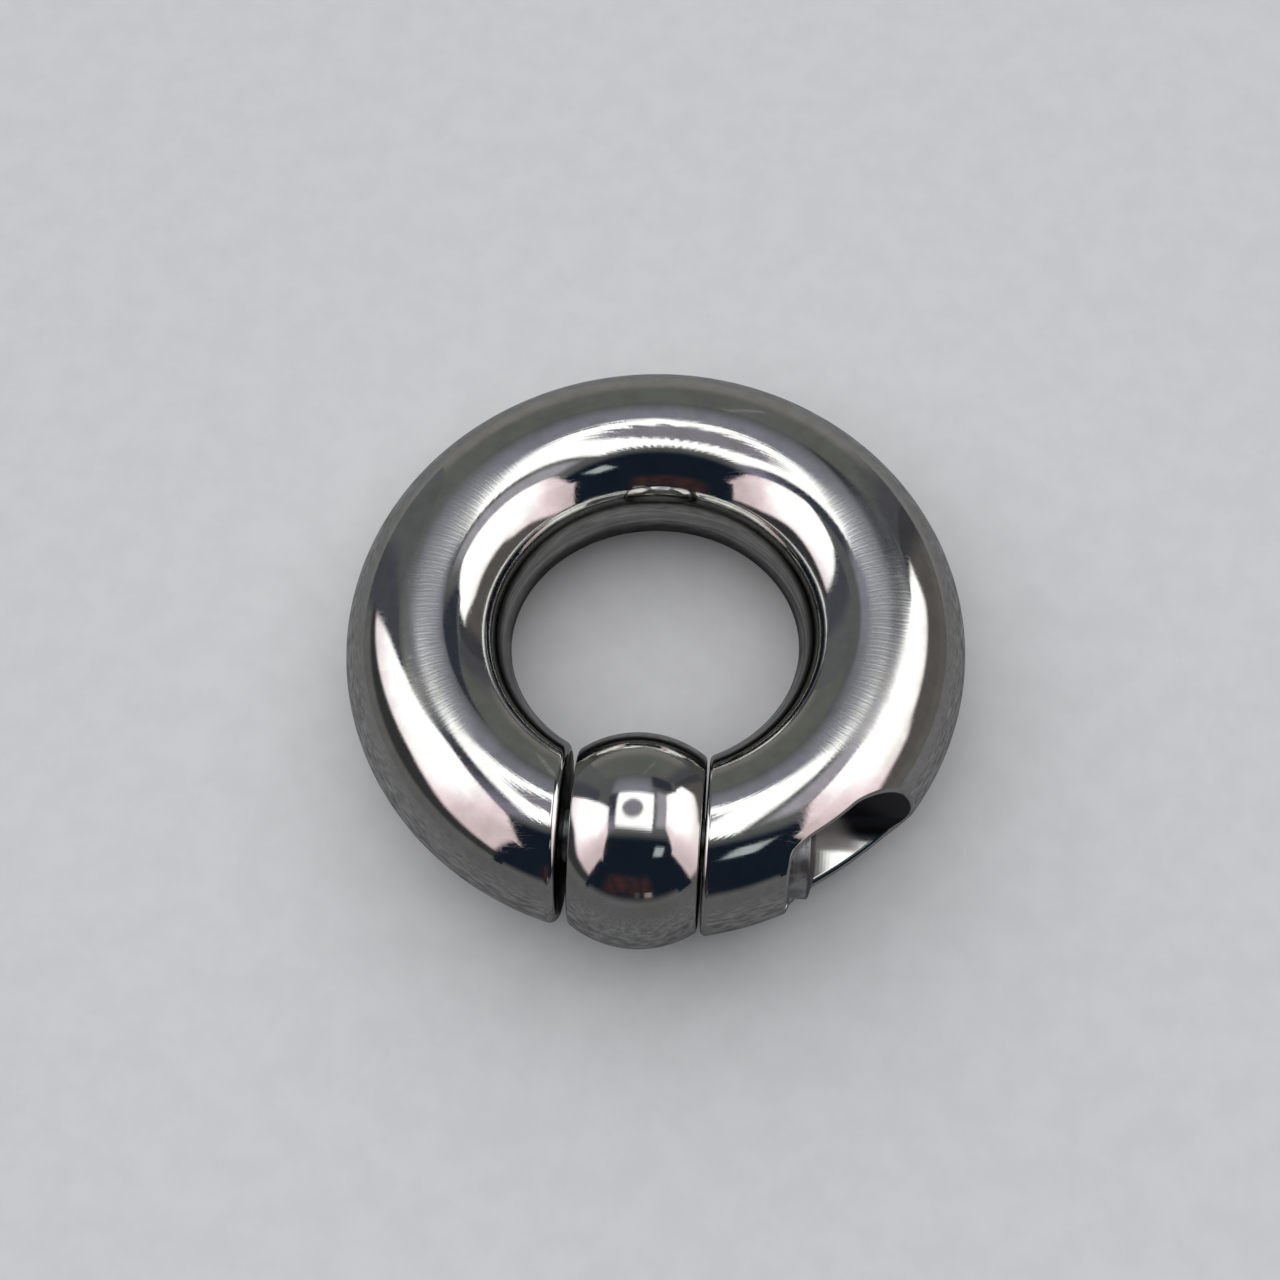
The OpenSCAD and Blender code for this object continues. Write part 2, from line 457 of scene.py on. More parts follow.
# The bead and the screw
def make_bead():
    skin = Skin()
    rim_x = BEAD_HALF - BEAD_RIM
    rim_r = math.sqrt((BEAD_R - BEAD_RIM) ** 2 - rim_x ** 2)
    top = math.asin(rim_x / (BEAD_R - BEAD_RIM))
    t = np.linspace(-top, top, 121)
    ball = np.stack([np.sin(t), np.cos(t)], 1)
    revolved(skin, BEAD_R * ball, ball, BEAD_STEPS)
    for side in (-1, 1):
        # The rolled edge and the flat inside it
        t = np.linspace(top, math.pi / 2, 9)
        facing = np.stack([side * np.sin(t), np.cos(t)], 1)
        rim = np.array([side * rim_x, rim_r]) + BEAD_RIM * facing
        revolved(skin, rim, facing, BEAD_STEPS)
        radius = np.linspace(rim_r, SHANK_BORE_R, 8)
        flat = np.stack([np.full(8, side * BEAD_HALF), radius], 1)
        skin.finish = GAP_FINISH
        revolved(skin, flat, np.broadcast_to((side, 0), flat.shape), BEAD_STEPS)
        skin.finish = POLISHED
    x = np.linspace(-BEAD_HALF, BEAD_HALF, 9)
    bore = np.stack([x, np.full(9, SHANK_BORE_R)], 1)
    skin.finish = GAP_FINISH
    revolved(skin, bore, np.broadcast_to(INWARD, bore.shape), BEAD_STEPS)
    return skin.build("bead_skin")


def add_shank(skin):
    """The shank with a small bevel at its tip, and the head's underside"""
    bevel_r, bevel_x = SHANK_R - TIP_BEVEL, SHANK_TIP_X + TIP_BEVEL
    tip = [(SHANK_TIP_X, 0), (SHANK_TIP_X, bevel_r)]
    bevel = [(SHANK_TIP_X, bevel_r), (bevel_x, SHANK_R)]
    shank = [(bevel_x, SHANK_R), (HEAD_X, SHANK_R)]
    under = [(HEAD_X, SHANK_R), (HEAD_X, HEAD_R - HEAD_RIM)]
    for profile, normal in ((tip, LEFTWARD), (bevel, (-1, 1)), (shank, OUTWARD), (under, LEFTWARD)):
        revolved(skin, profile, [normal, normal], SCREW_STEPS)


def add_head(skin, dome_x, dome_r, lead_r):
    """The head's round side with its rolled edges, and its domed end in to the socket"""
    t = np.linspace(-math.pi / 2, 0, 7)
    facing = np.stack([np.sin(t), np.cos(t)], 1)
    edge = np.array([HEAD_X + HEAD_RIM, HEAD_R - HEAD_RIM]) + HEAD_RIM * facing
    revolved(skin, edge, facing, SCREW_STEPS)
    turn = math.asin((HEAD_R - HEAD_RIM) / (dome_r - HEAD_RIM))
    rim_x = dome_x + (dome_r - HEAD_RIM) * math.cos(turn)
    x = np.linspace(HEAD_X + HEAD_RIM, rim_x, 9)
    side = np.stack([x, np.full(9, HEAD_R)], 1)
    revolved(skin, side, np.broadcast_to(OUTWARD, side.shape), SCREW_STEPS)
    t = np.linspace(0, math.pi / 2 - turn, 7)
    facing = np.stack([np.sin(t), np.cos(t)], 1)
    edge = np.array([rim_x, HEAD_R - HEAD_RIM]) + HEAD_RIM * facing
    revolved(skin, edge, facing, SCREW_STEPS)
    t = np.linspace(turn, math.asin(lead_r / dome_r), 17)
    facing = np.stack([np.cos(t), np.sin(t)], 1)
    revolved(skin, np.array([dome_x, 0]) + dome_r * facing, facing, SCREW_STEPS)


def add_socket(skin, lead_x, lead_r):
    """The six-sided socket: its lead-in, its walls and its drilled floor"""
    a = np.arange(SCREW_STEPS) * 2 * math.pi / SCREW_STEPS
    sixth = math.pi / 3
    hexagon = KEY_HALF / np.cos((a + sixth / 2) % sixth - sixth / 2)
    lead_x = np.full(SCREW_STEPS, lead_x)
    outer = np.stack([lead_x, -AXIS_R - lead_r * np.cos(a), lead_r * np.sin(a)], -1)
    rim = np.stack([lead_x - (lead_r - hexagon) * KEY_LEAD_SLOPE, -AXIS_R - hexagon * np.cos(a),
                    hexagon * np.sin(a)], -1)
    slope = unit(np.stack([np.full(SCREW_STEPS, 1.0), KEY_LEAD_SLOPE * np.cos(a),
                           -KEY_LEAD_SLOPE * np.sin(a)], -1))
    skin.grid(np.stack([outer, rim]), slope, closed=True)
    floor = rim.copy()
    floor[:, 0] = HEAD_X + HEAD_H + HEAD_DOME - KEY_DEEP
    faces = np.round(a / sixth)
    for side in range(6):
        rows = np.flatnonzero(faces % 6 == side)
        # The first side starts before the full turn and ends after it
        if side == 0:
            half = SCREW_STEPS // 2
            rows = np.concatenate([rows[rows > half], rows[rows <= half]])
        rows = np.append(rows, (rows[-1] + 1) % SCREW_STEPS)
        facing = (0, math.cos(side * sixth), -math.sin(side * sixth))
        skin.grid(between(rim[rows], floor[rows], 4), facing)
    point = np.array([floor[0, 0] - DRILL_POINT, -AXIS_R, 0])
    skin.grid(between(floor, point, 4), (1, 0, 0), closed=True)


def make_screw():
    skin = Skin()
    dome_r = (HEAD_R ** 2 + HEAD_DOME ** 2) / (2 * HEAD_DOME)
    dome_x = HEAD_X + HEAD_H + HEAD_DOME - dome_r
    lead_r = KEY_HALF / math.cos(math.pi / 6) + KEY_LEAD
    add_shank(skin)
    add_head(skin, dome_x, dome_r, lead_r)
    add_socket(skin, dome_x + math.sqrt(dome_r ** 2 - lead_r ** 2), lead_r)
    return skin.build("screw_skin")


ring = make_ring()
bead = make_bead()
screw = make_screw()
for piece, node in ((ring, "ring"), (bead, "bead"), (screw, "screw")):
    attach(piece, "root")
    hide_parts(node)


# Camera
# The photograph's camera, fitted to the ring in a 1280 by 1280 picture: its focal length in
# pixels, its distance from the ring's middle, and where that middle shows in the picture
PICTURE = 1280
FOCAL = 2067.575
EYE_DISTANCE = 25.17 * WIRE_R
ELEVATION = math.radians(61.884)
SWING = math.radians(5.569)
ROLL = math.radians(-1.421)
SEEN_X, SEEN_Y = 655.046, 642.303
SENSOR = 36


def set_camera():
    eye = np.array([0, -math.cos(ELEVATION), math.sin(ELEVATION)]) * EYE_DISTANCE
    ahead = -eye / EYE_DISTANCE
    right = np.array([1.0, 0, 0])
    axes = np.stack([right, np.cross(ahead, right), ahead])
    # Turns the view so that the ring's middle shows where the photograph has it
    ray = unit([(SEEN_X - PICTURE / 2) / FOCAL, (SEEN_Y - PICTURE / 2) / FOCAL, 1])
    hinge = np.cross((0, 0, 1), ray)
    turn = Matrix.Rotation(math.asin(np.linalg.norm(hinge)), 3, unit(hinge).tolist())
    twist = Matrix.Rotation(ROLL, 3, "Z")
    axes = np.array(turn) @ np.array(twist) @ axes
    about = np.array(Matrix.Rotation(SWING, 3, "Z"))
    eye, axes = about @ eye, axes @ about.T
    right, down, ahead = turned(axes)
    place = laid(eye)
    camera = bpy.data.objects.new("camera", bpy.data.cameras.new("camera"))
    bpy.context.scene.collection.objects.link(camera)
    world = Matrix(np.stack([right, -down, -ahead], 1).tolist()).to_4x4()
    world.translation = place.tolist()
    camera.matrix_world = world
    camera.data.sensor_width = SENSOR
    camera.data.lens = FOCAL / PICTURE * SENSOR
    camera.data.clip_start = 0.01
    camera.data.clip_end = 20
    bpy.context.scene.camera = camera


set_camera()


# Node maths
class Nodes:
    """Writes a material's node maths a line at a time"""

    def __init__(self, tree):
        self.tree = tree

    def add(self, kind, **settings):
        node = self.tree.nodes.new("ShaderNode" + kind)
        for name, value in settings.items():
            setattr(node, name, value)
        return node

    def put(self, socket, value):
        if isinstance(value, bpy.types.NodeSocket):
            self.tree.links.new(value, socket)
        elif isinstance(value, tuple) and len(value) == 3 and socket.type == "RGBA":
            socket.default_value = (*value, 1)
        else:
            socket.default_value = value

    def math(self, operation, *values):
        node = self.add("Math", operation=operation)
        for socket, value in zip(node.inputs, values):
            self.put(socket, value)
        return node.outputs[0]

    def plus(self, *values):
        total = values[0]
        for value in values[1:]:
            total = self.math("ADD", total, value)
        return total

    def times(self, *values):
        product = values[0]
        for value in values[1:]:
            product = self.math("MULTIPLY", product, value)
        return product

    def line(self, value, start, slope):
        """start plus slope times the value"""
        return self.math("MULTIPLY_ADD", value, slope, start)

    def rise(self, value, low, high):
        """0 below low, 1 above high, and a smooth step between; low may be the larger"""
        node = self.add("MapRange", interpolation_type="SMOOTHSTEP")
        ends = (low, high, 0, 1) if low < high else (high, low, 1, 0)
        for socket, number in zip(node.inputs, (value, *ends)):
            self.put(socket, number)
        return node.outputs[0]

    def band(self, value, low, high, soft):
        """1 between low and high, with soft edges of the given half width"""
        return self.times(self.rise(value, low - soft, low + soft),
                          self.rise(value, high + soft, high - soft))

    def above(self, value, edge, soft):
        """1 where value is above the edge, which may itself vary"""
        return self.rise(self.math("SUBTRACT", value, edge), -soft, soft)

    def mix(self, share, first, second):
        """The first colour where share is 0, the second where it is 1"""
        node = self.add("Mix", data_type="RGBA")
        for index, value in ((0, share), (6, first), (7, second)):
            self.put(node.inputs[index], value)
        return node.outputs[2]

    def split(self, vector):
        node = self.add("SeparateXYZ")
        self.put(node.inputs[0], vector)
        return node.outputs

    def joined(self, *values):
        node = self.add("CombineXYZ")
        for socket, value in zip(node.inputs, values):
            self.put(socket, value)
        return node.outputs[0]

    def noise(self, vector, scale, detail=2.0, rough=0.5):
        node = self.add("TexNoise")
        for name, value in (("Vector", vector), ("Scale", scale), ("Detail", detail),
                            ("Roughness", rough)):
            self.put(node.inputs[name], value)
        return node.outputs[0]

    def place(self):
        """The point's own coordinates in millimetres"""
        scale = self.add("VectorMath", operation="SCALE")
        self.put(scale.inputs[0], self.add("TexCoord").outputs["Object"])
        self.put(scale.inputs["Scale"], 1 / MM)
        return scale.outputs[0]

    def ring_place(self):
        """The point in the ring's own frame, in millimetres"""
        back = self.add("Mapping", vector_type="TEXTURE")
        self.put(back.inputs["Vector"], self.place())
        self.put(back.inputs["Location"], (0.0, SHIFT_Y, LIFT))
        self.put(back.inputs["Rotation"], (-LEAN, 0.0, 0.0))
        return back.outputs[0]


def blank(name):
    material = bpy.data.materials.new(name)
    material.use_nodes = True
    material.node_tree.nodes.clear()
    return material, Nodes(material.node_tree)


# Steel. Each finish has its colour, and the duller or stained one that it drifts to
STEEL, STEEL_DULL = (0.61, 0.615, 0.59), (0.53, 0.53, 0.50)
# The faced colour is painted shade: the ends in the bead's narrow gaps are made dark
FACED_SHADE, FACED_STAIN = (0.13, 0.13, 0.135), (0.07, 0.065, 0.065)
MILLED, MILLED_DULL = (0.66, 0.66, 0.63), (0.58, 0.58, 0.54)
# The milled passage's near-black colour is painted shade on its inner wall
MILLED_SHADE = (0.035, 0.037, 0.045)
TURNED, TURNED_DULL = (0.80, 0.82, 0.80), (0.64, 0.66, 0.64)
# The screw's end colour is painted shade on its domed end; the stain colour is the screw's own
TURNED_STAIN, TURNED_END_SHADE = (0.14, 0.14, 0.15), (0.17, 0.165, 0.165)
# How many polishing ridges go round the ring, coarse and fine, and how many lines round the bead
RIDGES, FINE_RIDGES, BEAD_LINES = 262.0, 431.0, 300.0
# Tool marks, in radians of their wave for each millimetre
BEAD_MARKS, FACING_MARKS, CUTTER_MARKS, TURNING_MARKS = 17.0, 26.0, 30.0, 28.0
MICRON = 1e-6


def metal(n, colour, roughness, bumps):
    """A metal shader with its bumps, each a height of 0 to 1 and its depth in microns"""
    shader = n.add("BsdfPrincipled")
    n.put(shader.inputs["Base Color"], colour)
    n.put(shader.inputs["Roughness"], roughness)
    shader.inputs["Metallic"].default_value = 1
    normal = None
    for height, depth in bumps:
        bump = n.add("Bump")
        bump.inputs["Strength"].default_value = 1
        bump.inputs["Distance"].default_value = depth * MICRON
        n.put(bump.inputs["Height"], height)
        if normal:
            n.put(bump.inputs["Normal"], normal)
        normal = bump.outputs[0]
    n.put(shader.inputs["Normal"], normal)
    n.put(n.add("OutputMaterial").inputs[0], shader.outputs[0])


def scratches(n, place, seed):
    """Fine wipe marks that run every way, as lines where a stretched noise crosses its middle"""
    marks = None
    for k, turn in enumerate((0.3, 1.4, 2.5)):
        lay = n.add("Mapping")
        n.put(lay.inputs["Vector"], place)
        n.put(lay.inputs["Location"], (seed * 3.7, k * 5.1, 0.0))
        n.put(lay.inputs["Rotation"], (0.35 * k, 0.8 - 0.5 * k, turn))
        n.put(lay.inputs["Scale"], (0.16, 2.2, 2.2))
        wave = n.noise(lay.outputs[0], 1.0, 3.0, 0.6)
        away = n.math("ABSOLUTE", n.math("SUBTRACT", wave, 0.5))
        mark = n.rise(away, 0.012, 0.002)
        marks = n.math("MAXIMUM", marks, mark) if marks else mark
    return marks


def ring_steel():
    """Mirror polish, with a satin crest of fine ridges along the two arms"""
    material, n = blank("ring_steel_polished")
    place = n.ring_place()
    x, y, z = n.split(place)
    azimuth = n.math("ARCTAN2", x, y)
    reach = n.math("SQRT", n.plus(n.times(x, x), n.times(y, y)))
    # 1 along the wire's crest, 0 at its sides
    crest = n.rise(z, WIRE_R * 0.955, WIRE_R * 0.986)
    arms = n.times(n.rise(y, -11.0, -7.0), n.rise(y, 11.0, 7.0))
    satin = n.times(crest, arms)
    drift = n.noise(place, 0.35, 2.0)
    patches = n.noise(place, 0.9, 3.0)
    # Ridges across the wire, left by the polishing wheel
    coarse = n.math("SINE", n.plus(n.times(azimuth, RIDGES), n.times(drift, 9.0),
                                   n.times(reach, 0.9)))
    fine = n.math("SINE", n.plus(n.times(azimuth, FINE_RIDGES), n.times(patches, 14.0)))
    ridges = n.times(n.plus(coarse, n.times(fine, 0.8)), n.plus(0.06, n.times(satin, 0.94)))
    marks = scratches(n, place, 1.0)
    colour = n.mix(n.rise(patches, 0.3, 0.75), STEEL, STEEL_DULL)
    roughness = n.plus(0.02, n.times(n.rise(drift, 0.35, 0.7), 0.025), n.times(marks, 0.04),
                       n.times(satin, n.plus(0.11, n.times(patches, 0.15))))
    waviness = n.noise(place, 0.16, 1.0)
    metal(n, colour, roughness, [(waviness, 10.0), (ridges, 0.55), (marks, -0.2)])
    return material


def bead_steel():
    """Mirror polish over faint turning marks and lines across them"""
    material, n = blank("bead_steel_polished")
    place = n.ring_place()
    drift = n.noise(place, 0.5, 2.0)
    x, y, z = n.split(place)
    turn = n.math("ARCTAN2", z, n.plus(n.times(y, -1.0), -AXIS_R))
    turned_lines = n.math("SINE", n.plus(n.times(x, BEAD_MARKS), n.times(drift, 6.0)))
    cross_lines = n.math("SINE", n.plus(n.times(turn, BEAD_LINES), n.times(drift, 9.0)))
    marks = scratches(n, place, 2.0)
    colour = n.mix(n.rise(drift, 0.3, 0.75), STEEL, STEEL_DULL)
    roughness = n.plus(0.035, n.times(n.rise(drift, 0.35, 0.7), 0.03), n.times(marks, 0.05))
    metal(n, colour, roughness, [(turned_lines, 0.06), (cross_lines, 0.14), (marks, -0.15)])
    return material


def gap_steel():
    """The faced ends beside the bead: dull and darkened by painted shade, with close facing rings
    """
    material, n = blank("steel_gap")
    place = n.ring_place()
    _, y, z = n.split(place)
    reach = n.math("SQRT", n.plus(n.math("POWER", n.plus(y, AXIS_R), 2.0), n.times(z, z)))
    rings = n.math("SINE", n.times(reach, FACING_MARKS))
    stain = n.rise(n.noise(place, 0.8, 3.0), 0.3, 0.7)
    metal(n, n.mix(stain, FACED_SHADE, FACED_STAIN), n.plus(0.30, n.times(stain, 0.15)), [(rings, 0.5)])
    return material


def passage_steel():
    """The milled passage: smooth with faint cutter marks, duller beside the screw's head, and
    nearly black on its inner wall as painted shade, and rougher there"""
    material, n = blank("steel_passage")
    place = n.ring_place()
    x, y, z = n.split(place)
    drift = n.noise(place, 0.6, 2.0)
    turn = n.math("ARCTAN2", z, n.plus(y, AXIS_R))
    along = n.plus(x, n.times(turn, 2.2), n.times(drift, 0.6))
    # Painted shade: the passage's inner wall, deep inside, is darkened nearly to black and made
    # rougher
    inner_wall_shade = n.times(n.rise(turn, -1.02, -0.75), n.rise(along, 9.9, 11.5))
    beside_head = n.times(n.rise(along, 11.6, 10.2), n.rise(turn, -1.2, -1.0))
    marks = n.math("SINE", n.plus(n.times(x, CUTTER_MARKS), n.times(drift, 8.0)))
    colour = n.mix(inner_wall_shade, n.mix(n.rise(drift, 0.3, 0.7), MILLED, MILLED_DULL), MILLED_SHADE)
    roughness = n.plus(0.12, n.times(drift, 0.06), n.times(beside_head, 0.4), n.times(inner_wall_shade, 0.2))
    metal(n, colour, roughness, [(marks, 0.15)])
    return material


def screw_steel():
    """Turned steel: fine rings round the shank and the head, stains, and a domed end darkened by
    painted shade
    """
    material, n = blank("screw_steel_turned")
    place = n.ring_place()
    x, _, _ = n.split(place)
    drift = n.noise(place, 0.8, 2.0)
    rings = n.math("SINE", n.plus(n.times(x, TURNING_MARKS), n.times(drift, 3.0)))
    stain = n.rise(n.noise(place, 1.3, 3.0), 0.42, 0.6)
    colour = n.mix(n.rise(drift, 0.3, 0.7), TURNED, TURNED_DULL)
    colour = n.mix(n.times(stain, 0.55), colour, TURNED_STAIN)
    # Painted shade that darkens the screw's domed end
    end = n.rise(x, HEAD_X + HEAD_H - HEAD_RIM, HEAD_X + HEAD_H)
    colour = n.mix(end, colour, TURNED_END_SHADE)
    grain = n.noise(place, 6.0, 3.0)
    metal(n, colour, n.plus(0.34, n.times(drift, 0.16)), [(rings, 1.6), (grain, 1.6)])
    return material


gap = gap_steel()
for piece, materials in ((ring, (ring_steel(), gap, passage_steel())),
                         (bead, (bead_steel(), gap)), (screw, (screw_steel(),))):
    for material in materials:
        piece.data.materials.append(material)

# Light and floor. The steel mirrors a small light box: lit walls to the left and right, a square
# light with a round hole overhead, a dim back, a dark open front and a grey cloth. Its cards and
# the cloth are seen in reflections only. The pale floor is seen directly, not in reflections.
# Places are in millimetres from the model's origin: -y is the front, +x is the right.
WALL, BACK, FRONT, ROOF = 100, 130, -130, 115
LEFT_FRONT, RIGHT_FRONT = -118, -86
FLOOR = 3000
CLOTH = 0.02
# The square light: its left and right edges, where its front and back edges start and end, the
# middle of its hole and the hole's soft edge, and how far apart its small lamps are
SQUARE = (-43, 31)
SQUARE_FRONT = (-32, -24)
SQUARE_BACK = (53, 47)
HOLE_X, HOLE_Y, HOLE_EDGE = -10.0, 13.0, (23, 18)
LED_PITCH = 3.3
# What the walls' light is like near the lamps, and where it fades to pink
BRIGHT = (1.9, 1.9, 1.92)
PINK, PINK_FAR = (1.42, 1.14, 1.24), (0.99, 0.80, 0.84)
LEFT_LOW, RIGHT_LOW = (1.4, 1.22, 1.3), (1.5, 1.38, 1.38)
# The unlit parts of the box
NAVY = (0.010, 0.017, 0.030)
DIM = (0.145, 0.15, 0.155)
SHADE = (0.07, 0.07, 0.08)
ROWS, ROWS_DARK = (0.31, 0.315, 0.38), (0.045, 0.052, 0.07)
HOLE = (0.33, 0.31, 0.37)
STRIP_RIGHT = (0.52, 0.50, 0.57)
STRIP_FRONT, STRIP_BACK = (0.30, 0.28, 0.38), (0.06, 0.065, 0.09)
FRONT_LIGHT = (0.55, 0.62, 0.64)
LEFT_FOOT, LEFT_DARK, LEFT_BACK = (0.17, 0.17, 0.17), (0.05, 0.05, 0.055), (0.09, 0.09, 0.115)
RIGHT_FOOT, RIGHT_DARK = (0.16, 0.155, 0.15), (0.14, 0.13, 0.125)
BACK_FOOT, BACK_TOP, BACK_RIGHT = (0.27, 0.26, 0.25), (0.165, 0.17, 0.16), (0.10, 0.10, 0.115)
BACK_SEAM = (0.27, 0.27, 0.28)
WARM, FRONT_FOOT, LAMPS = (0.075, 0.035, 0.032), (0.17, 0.165, 0.17), (0.42, 0.36, 0.33)
# The cloth and the floor
CLOTH_DARK, CLOTH_PALE = (0.15, 0.15, 0.155), (0.32, 0.32, 0.325)
CLOTH_BACK, CLOTH_FRONT, CLOTH_SHADOW = (0.30, 0.295, 0.29), (0.13, 0.13, 0.135), (0.03, 0.03, 0.03)
FLOOR_DARK, FLOOR_PALE = (0.66, 0.66, 0.67), (0.69, 0.69, 0.70)
SUN_POWER = 2.7
SUN_WIDTH = math.radians(120)
SUN_TURN = (math.radians(-12), math.radians(-10), 0)


def sheet(name, corners, material):
    mesh = bpy.data.meshes.new(name)
    mesh.from_pydata([tuple(v * MM for v in c) for c in corners], [], [tuple(range(len(corners)))])
    mesh.materials.append(material)
    piece = bpy.data.objects.new(name, mesh)
    bpy.context.scene.collection.objects.link(piece)
    return piece


def level(name, half, height, material):
    """A level square about the origin"""
    return sheet(name, [(-half, -half, height), (half, -half, height), (half, half, height),
                        (-half, half, height)], material)


def upright(name, first, last, material):
    """A wall of the box, from one (x, y) to another"""
    return sheet(name, [(*first, 0), (*last, 0), (*last, ROOF), (*first, ROOF)], material)


def glow(name, paint):
    """An emission whose colour paint() works out from the point's place in millimetres"""
    material, n = blank(name)
    light = n.add("Emission")
    n.put(light.inputs["Color"], paint(n, *n.split(n.place())))
    n.put(n.add("OutputMaterial").inputs[0], light.outputs[0])
    return material


def cloth_like(name, first, second, scale, shaded=None):
    material, n = blank(name)
    shader = n.add("BsdfPrincipled")
    grain = n.noise(n.place(), scale, 6.0, 0.6)
    colour = n.mix(n.rise(grain, 0.35, 0.65), first, second)
    n.put(shader.inputs["Base Color"], shaded(n, colour) if shaded else colour)
    shader.inputs["Roughness"].default_value = 0.95
    shader.inputs["Specular IOR Level"].default_value = 0.1
    n.put(n.add("OutputMaterial").inputs[0], shader.outputs[0])
    return material


def shade_cloth(n, colour):
    """Another tone behind the ring, darker in front of it and in its shadow inside the hole"""
    x, y, _ = n.split(n.place())
    reach = n.math("SQRT", n.plus(n.times(x, x), n.times(y, y)))
    colour = n.mix(n.rise(y, 22, 60), colour, CLOTH_BACK)
    colour = n.mix(n.times(n.rise(y, -12, -45), 0.6), colour, CLOTH_FRONT)
    shadow = n.times(n.rise(y, -3, 6), n.rise(reach, 5, 8.5), n.rise(reach, 15, 12))
    return n.mix(n.times(shadow, 0.85), colour, CLOTH_SHADOW)


def seen_by(piece, camera=False, glossy=False, diffuse=False):
    piece.visible_camera = camera
    piece.visible_glossy = glossy
    piece.visible_diffuse = diffuse
    piece.visible_transmission = False
    piece.visible_shadow = False


def paint_wall_light(n, x, y, colour):
    """The walls' light, where it runs on over the roof: wedges that widen towards each wall"""
    left, right = n.line(x, -60.0, -1.0), n.line(x, -60.0, 1.0)
    on_left, on_right = n.rise(left, -2, 4), n.rise(right, -2, 4)
    pink_left = n.times(on_left, n.above(y, n.line(left, -38.0, -2.3), 6),
                        n.math("SUBTRACT", 1.0, n.above(y, n.line(left, 15.0, 0.6), 3)))
    pink_right = n.times(on_right, n.above(y, n.line(right, -18.0, -1.4), 6),
                         n.math("SUBTRACT", 1.0, n.above(y, n.line(right, 58.0, 0.9), 4)))
    pink = n.mix(n.rise(y, -30, -90), PINK, PINK_FAR)
    colour = n.mix(n.math("MAXIMUM", pink_left, pink_right), colour, pink)
    white = n.math("MAXIMUM", n.times(pink_left, n.above(y, n.line(left, -16.0, -0.9), 14)),
                   n.times(pink_right, n.above(y, n.line(right, -8.0, -0.6), 14)))
    return n.mix(white, colour, BRIGHT)


def paint_roof(n, x, y, z):
    # The lamps' small teeth along every lit edge
    wave = 2 * math.pi / LED_PITCH
    teeth_x = n.times(n.math("SINE", n.times(x, wave)), 4.0)
    teeth_y = n.times(n.math("SINE", n.times(y, wave)), 1.6)
    ragged_x, ragged_y = n.plus(x, teeth_y), n.plus(y, teeth_x)
    colour = n.mix(n.rise(y, -55, -34), NAVY, DIM)
    # The dim rows of lamps behind the square, and a darker patch to their right
    rows = n.times(n.band(x, -60, 28, 8), n.rise(y, 128, 60), n.rise(ragged_y, 44, 52))
    colour = n.mix(rows, colour, ROWS)
    colour = n.mix(n.times(n.band(x, 27, 84, 5), n.band(y, 75, 124, 5)), colour, ROWS_DARK)
    # The strips between the square and the walls' light
    colour = n.mix(n.times(n.band(x, 38, 60, 5), n.band(y, -22, 60, 8)), colour, STRIP_RIGHT)
    strip = n.mix(n.rise(y, -25, 15), STRIP_FRONT, STRIP_BACK)
    colour = n.mix(n.times(n.band(x, -64, -44, 4), n.band(y, -34, 50, 8)), colour, strip)
    colour = paint_wall_light(n, x, y, colour)
    # The square light and its round hole
    front_y = n.plus(ragged_y, n.times(x, 0.05))
    square = n.times(n.band(ragged_x, *SQUARE, 2), n.rise(front_y, *SQUARE_FRONT),
                     n.rise(ragged_y, *SQUARE_BACK))
    colour = n.mix(square, colour, BRIGHT)
    off_x, off_y = n.plus(x, -HOLE_X), n.plus(ragged_y, -HOLE_Y)
    radius = n.math("SQRT", n.plus(n.times(off_x, off_x), n.times(off_y, off_y)))
    colour = n.mix(n.rise(radius, *HOLE_EDGE), colour, HOLE)
    # A small light over the open front
    return n.mix(n.times(n.band(x, 46, 70, 4), n.band(y, -92, -66, 4)), colour, FRONT_LIGHT)


def paint_left(n, x, y, z):
    colour = n.mix(n.rise(z, 14, 24), LEFT_FOOT, LEFT_DARK)
    colour = n.mix(n.rise(y, 36, 44), colour, LEFT_BACK)
    colour = n.mix(n.rise(y, 62, 82), colour, DIM)
    pink = n.mix(n.rise(y, -40, -90), PINK, PINK_FAR)
    edge = n.line(n.rise(y, -65, -25), 42.0, 8.0)
    colour = n.mix(n.times(n.band(y, -114, -30, 4), n.above(z, edge, 6)), colour, pink)
    edge = n.line(n.rise(y, -25, 40), 50.0, -18.0)
    lit = n.times(n.rise(y, -62, -30), n.rise(y, 41, 35), n.above(z, edge, 5))
    return n.mix(lit, colour, n.mix(n.rise(z, 30, 80), LEFT_LOW, BRIGHT))


def paint_right(n, x, y, z):
    colour = n.mix(n.rise(z, 14, 24), RIGHT_FOOT, RIGHT_DARK)
    colour = n.mix(n.rise(y, 90, 112), colour, SHADE)
    pink = n.mix(n.rise(y, -30, -75), PINK, PINK_FAR)
    edge = n.line(n.rise(y, -65, -8), 22.0, 24.0)
    colour = n.mix(n.times(n.band(y, -84, -10, 4), n.above(z, edge, 7)), colour, pink)
    edge = n.line(n.rise(y, 60, 108), n.line(n.rise(y, 12, -4), 56.0, -10.0), 30.0)
    lit = n.times(n.rise(y, -45, -8), n.rise(y, 109, 98), n.above(z, edge, 6))
    return n.mix(lit, colour, n.mix(n.rise(z, 50, 80), RIGHT_LOW, BRIGHT))


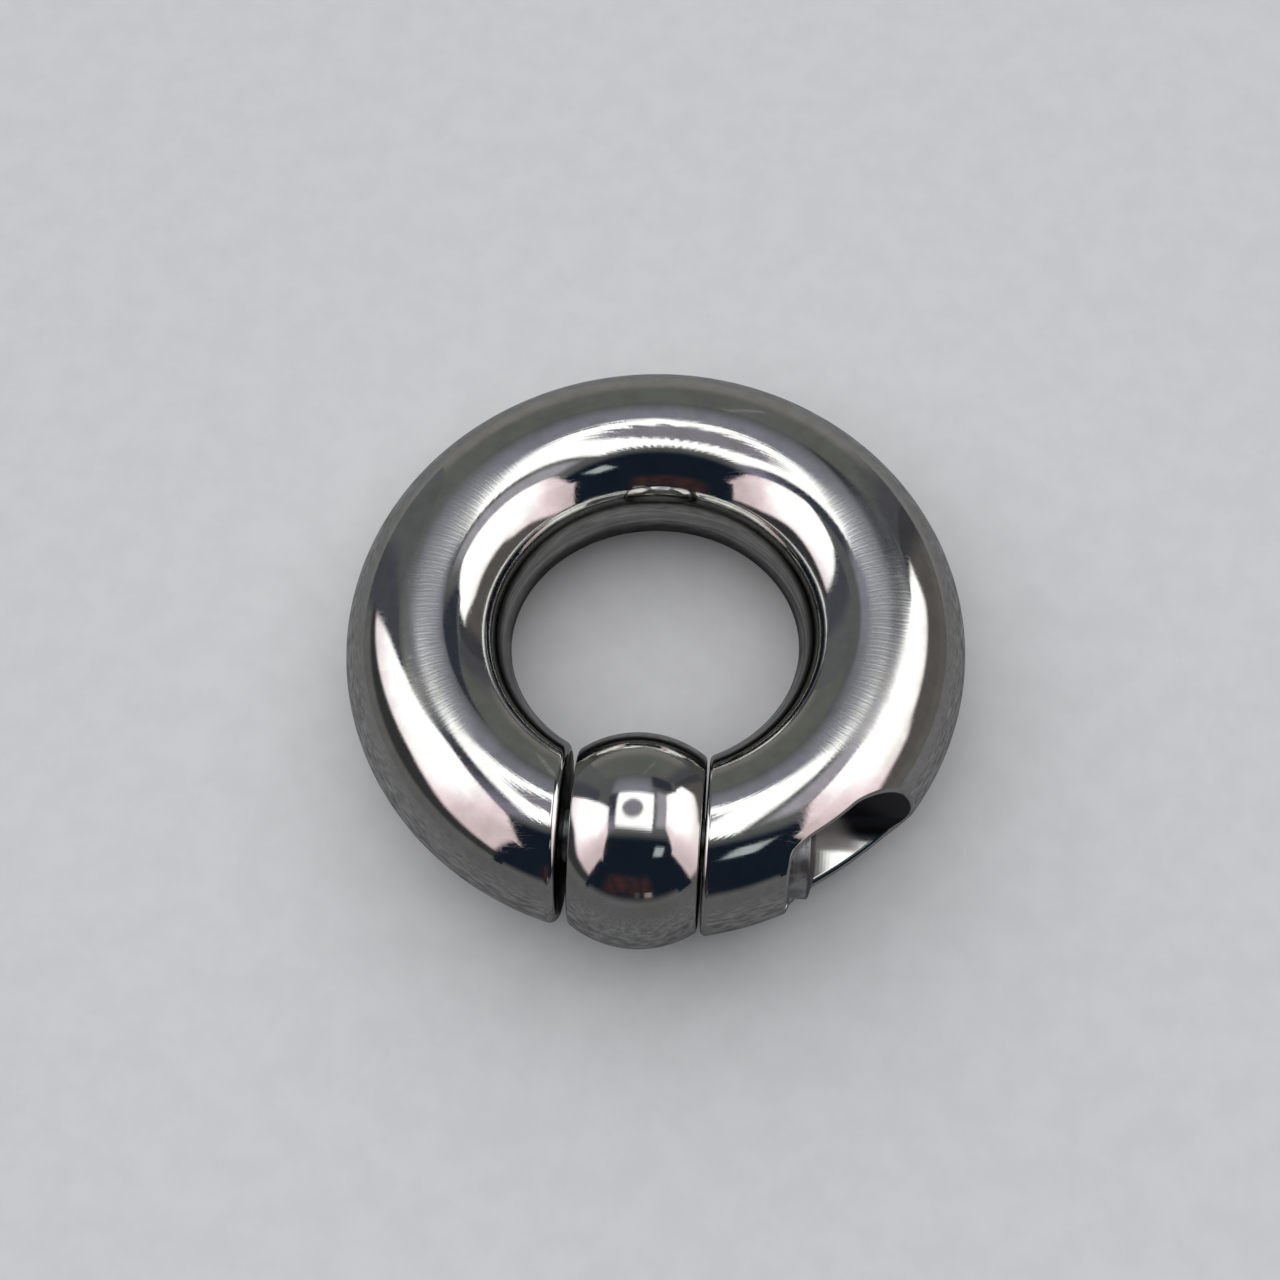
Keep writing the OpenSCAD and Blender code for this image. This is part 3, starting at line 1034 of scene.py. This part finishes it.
def paint_back(n, x, y, z):
    colour = n.mix(n.rise(z, 8, 45), BACK_FOOT, BACK_TOP)
    colour = n.mix(n.rise(x, 55, 85), colour, BACK_RIGHT)
    seam = n.band(n.plus(x, n.times(z, 0.3)), 38, 41, 1)
    return n.mix(n.times(seam, n.band(z, 55, 112, 5)), colour, BACK_SEAM)


def paint_front(n, x, y, z):
    cloudy = n.noise(n.joined(x, z, 0.0), 0.05, 2.0)
    warm = n.times(n.band(x, -62, 36, 16), n.band(z, 30, 78, 14))
    colour = n.mix(n.times(warm, n.rise(cloudy, 0.2, 0.7)), NAVY, WARM)
    lamps = n.plus(n.times(n.band(x, 22, 36, 3), n.band(z, 24, 36, 3)),
                   n.times(n.band(x, 4, 12, 2), n.band(z, 24, 38, 3), 0.2))
    colour = n.mix(n.rise(z, 30, 5), colour, FRONT_FOOT)
    return n.mix(lamps, colour, LAMPS)


cards = [
    sheet("light_roof", [(-WALL, FRONT, ROOF), (WALL, FRONT, ROOF), (WALL, BACK, ROOF),
                         (-WALL, BACK, ROOF)], glow("glow_roof", paint_roof)),
    upright("light_left", (-WALL, LEFT_FRONT), (-WALL, BACK), glow("glow_left", paint_left)),
    upright("light_right", (WALL, RIGHT_FRONT), (WALL, BACK), glow("glow_right", paint_right)),
    upright("light_back", (-WALL, BACK), (WALL, BACK), glow("glow_back", paint_back)),
    upright("light_front", (-WALL, FRONT), (WALL, FRONT), glow("glow_front", paint_front)),
]
for card in cards:
    seen_by(card, glossy=True)
floor = level("floor", FLOOR, 0, cloth_like("pale_floor", FLOOR_DARK, FLOOR_PALE, 0.4))
seen_by(floor, camera=True, diffuse=True)
cloth = level("cloth", FLOOR, CLOTH,
              cloth_like("grey_cloth", CLOTH_DARK, CLOTH_PALE, 0.7, shade_cloth))
seen_by(cloth, glossy=True)

sun = bpy.data.lights.new("soft_light", "SUN")
sun.energy = SUN_POWER
sun.angle = SUN_WIDTH
sun_object = bpy.data.objects.new("soft_light", sun)
sun_object.rotation_euler = SUN_TURN
bpy.context.scene.collection.objects.link(sun_object)
sun_object.visible_glossy = False
world = bpy.data.worlds.new("room")
bpy.context.scene.world = world
world.use_nodes = True
world.node_tree.nodes["Background"].inputs["Color"].default_value = (*NAVY, 1)
bpy.context.scene.view_settings.view_transform = "Standard"
